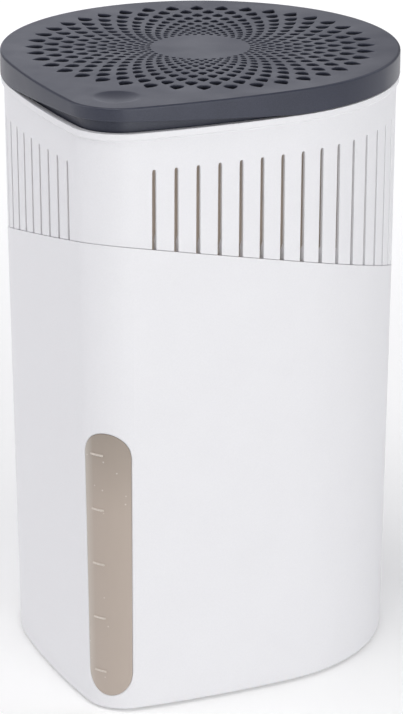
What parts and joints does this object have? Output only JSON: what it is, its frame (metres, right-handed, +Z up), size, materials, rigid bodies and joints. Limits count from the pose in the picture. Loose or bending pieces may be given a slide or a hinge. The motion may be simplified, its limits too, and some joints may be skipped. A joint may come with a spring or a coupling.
{
  "type": "passive moisture absorber",
  "caption": "Drop-shaped room dehumidifier without electrics: perforated lid, slotted housing, granule basket, refill pouch and a tank with a level window.",
  "frame": {"origin": "middle of the bounding box, on the surface that the base stands on", "axes": "+Z up; the small corner with the level window points to -Y, the round back to +Y"},
  "size_m": [0.155, 0.1784, 0.2406],
  "materials": {
    "grey_plastic": "fine moulded texture, dark grey",
    "white_plastic": "satin, white",
    "basket_plastic": "smoky, translucent",
    "window_plastic": "smoky taupe, translucent",
    "seal_rubber": "matt",
    "pouch_fleece": "non-woven fleece with heat-sealed edges"
  },
  "bodies": {
    "tank": {"lower_housing": "white_plastic", "level_window": "window_plastic", "window_gasket": "seal_rubber"},
    "sleeve": {"upper_housing": "white_plastic"},
    "basket": {"granule_basket": "basket_plastic"},
    "pouch": {"desiccant_pouch": "pouch_fleece"},
    "lid": {"lid": "grey_plastic"}
  },
  "joints": [
    {"name": "upper_lift", "type": "slide", "parent": "tank", "child": "sleeve", "axis": [0, 0, 1], "range_m": [0, 0.09]},
    {"name": "basket_lift", "type": "slide", "parent": "sleeve", "child": "basket", "axis": [0, 0, 1], "range_m": [0, 0.12]},
    {"name": "pouch_lift", "type": "slide", "parent": "basket", "child": "pouch", "axis": [0, 0, 1], "range_m": [0, 0.1]},
    {"name": "lid_lift", "type": "slide", "parent": "pouch", "child": "lid", "axis": [0, 0, 1], "range_m": [0, 0.06]}
  ]
}
